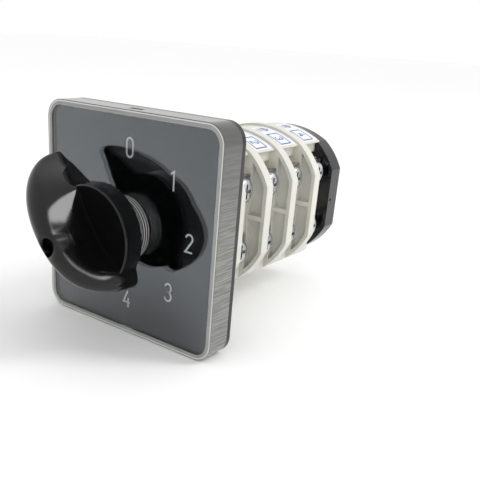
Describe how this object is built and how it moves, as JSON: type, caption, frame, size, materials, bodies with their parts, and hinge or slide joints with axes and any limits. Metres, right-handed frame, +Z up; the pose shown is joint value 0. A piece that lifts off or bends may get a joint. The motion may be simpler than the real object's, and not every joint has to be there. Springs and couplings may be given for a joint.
{
  "type": "rotary cam switch",
  "caption": "Panel rotary cam switch: knob on a square shaft, clear square front over a numbered dial, detent housing and stacked contact stages with screw terminals.",
  "frame": {"origin": "centre of the base plate's back face, which meets the panel", "axes": "+Z up and +X right as the operator sees the front, +Y along the shaft from front to rear"},
  "size_m": [0.064, 0.1153, 0.064],
  "materials": {
    "knob_moulding": "polished black moulding",
    "clear_moulding": "clear polished moulding",
    "dial_print": "dark grey printed sheet",
    "black_moulding": "satin black moulding",
    "stage_moulding": "warm white moulding",
    "cam_moulding": "smooth moulding",
    "plunger_moulding": "smooth moulding",
    "wheel_moulding": "smooth moulding",
    "contact_brass": "stamped strip",
    "spring_steel": "bent leaf",
    "zinc_steel": "bright zinc plate",
    "shaft_steel": "drawn bar",
    "silver_foil": "brushed silver foil"
  },
  "bodies": {
    "housing": {"base_plate": "black_moulding", "contact_block_1": "stage_moulding", "contact_block_2": "stage_moulding", "contact_block_3": "stage_moulding", "contact_block_4": "stage_moulding", "contact_spring_1_left": "spring_steel", "contact_spring_1_right": "spring_steel", "contact_spring_2_left": "spring_steel", "contact_spring_2_right": "spring_steel", "contact_spring_3_left": "spring_steel", "contact_spring_3_right": "spring_steel", "contact_spring_4_left": "spring_steel", "contact_spring_4_right": "spring_steel", "detent_housing": "black_moulding", "detent_spring_left": "spring_steel", "detent_spring_right": "spring_steel", "dial_plate": "dial_print", "front_cover": "clear_moulding", "rating_label": "silver_foil", "rear_cover": "black_moulding", "terminal_screws": "zinc_steel", "terminal_strips_1": "contact_brass", "terminal_strips_2": "contact_brass", "terminal_strips_3": "contact_brass", "terminal_strips_4": "contact_brass", "terminal_washers": "zinc_steel", "tie_bolts": "zinc_steel", "tie_nuts": "zinc_steel"},
    "rotor": {"knob": "knob_moulding", "knob_screw": "zinc_steel", "shaft": "shaft_steel", "detent_wheel": "wheel_moulding", "cam_1": "cam_moulding", "cam_2": "cam_moulding", "cam_3": "cam_moulding", "cam_4": "cam_moulding"},
    "slider_1_right": {"plunger_1_right": "plunger_moulding", "contact_bridge_1_right": "contact_brass"},
    "slider_1_left": {"plunger_1_left": "plunger_moulding", "contact_bridge_1_left": "contact_brass"},
    "slider_2_right": {"plunger_2_right": "plunger_moulding", "contact_bridge_2_right": "contact_brass"},
    "slider_2_left": {"plunger_2_left": "plunger_moulding", "contact_bridge_2_left": "contact_brass"},
    "slider_3_right": {"plunger_3_right": "plunger_moulding", "contact_bridge_3_right": "contact_brass"},
    "slider_3_left": {"plunger_3_left": "plunger_moulding", "contact_bridge_3_left": "contact_brass"},
    "slider_4_right": {"plunger_4_right": "plunger_moulding", "contact_bridge_4_right": "contact_brass"},
    "slider_4_left": {"plunger_4_left": "plunger_moulding", "contact_bridge_4_left": "contact_brass"}
  },
  "joints": [
    {"name": "rotor_turn", "type": "hinge", "parent": "housing", "child": "rotor", "pos_m": [0, 0, 0], "axis": [0, 1, 0], "range_deg": [-135, 45], "deforming": ["detent_spring_right", "detent_spring_left"]},
    {"name": "slider_1_right_travel", "type": "slide", "parent": "housing", "child": "slider_1_right", "axis": [1, 0, 0], "range_m": [-0.00105, 0.00035], "deforming": ["contact_spring_1_right"]},
    {"name": "slider_1_left_travel", "type": "slide", "parent": "housing", "child": "slider_1_left", "axis": [1, 0, 0], "range_m": [-0.00105, 0.00035], "deforming": ["contact_spring_1_left"]},
    {"name": "slider_2_right_travel", "type": "slide", "parent": "housing", "child": "slider_2_right", "axis": [1, 0, 0], "range_m": [-0.00035, 0.00105], "deforming": ["contact_spring_2_right"]},
    {"name": "slider_2_left_travel", "type": "slide", "parent": "housing", "child": "slider_2_left", "axis": [1, 0, 0], "range_m": [-0.00035, 0.00105], "deforming": ["contact_spring_2_left"]},
    {"name": "slider_3_right_travel", "type": "slide", "parent": "housing", "child": "slider_3_right", "axis": [1, 0, 0], "range_m": [-0.00105, 0.00035], "deforming": ["contact_spring_3_right"]},
    {"name": "slider_3_left_travel", "type": "slide", "parent": "housing", "child": "slider_3_left", "axis": [1, 0, 0], "range_m": [-0.00105, 0.00035], "deforming": ["contact_spring_3_left"]},
    {"name": "slider_4_right_travel", "type": "slide", "parent": "housing", "child": "slider_4_right", "axis": [1, 0, 0], "range_m": [-0.00035, 0.00105], "deforming": ["contact_spring_4_right"]},
    {"name": "slider_4_left_travel", "type": "slide", "parent": "housing", "child": "slider_4_left", "axis": [1, 0, 0], "range_m": [-0.00035, 0.00105], "deforming": ["contact_spring_4_left"]}
  ],
  "couplings": [
    {"joint": "slider_1_right_travel", "follows": "rotor_turn", "m_per_rad": 0.00044563},
    {"joint": "slider_1_left_travel", "follows": "rotor_turn", "m_per_rad": 0.00044563},
    {"joint": "slider_2_right_travel", "follows": "rotor_turn", "m_per_rad": -0.00044563},
    {"joint": "slider_2_left_travel", "follows": "rotor_turn", "m_per_rad": -0.00044563},
    {"joint": "slider_3_right_travel", "follows": "rotor_turn", "m_per_rad": 0.00044563},
    {"joint": "slider_3_left_travel", "follows": "rotor_turn", "m_per_rad": 0.00044563},
    {"joint": "slider_4_right_travel", "follows": "rotor_turn", "m_per_rad": -0.00044563},
    {"joint": "slider_4_left_travel", "follows": "rotor_turn", "m_per_rad": -0.00044563}
  ]
}
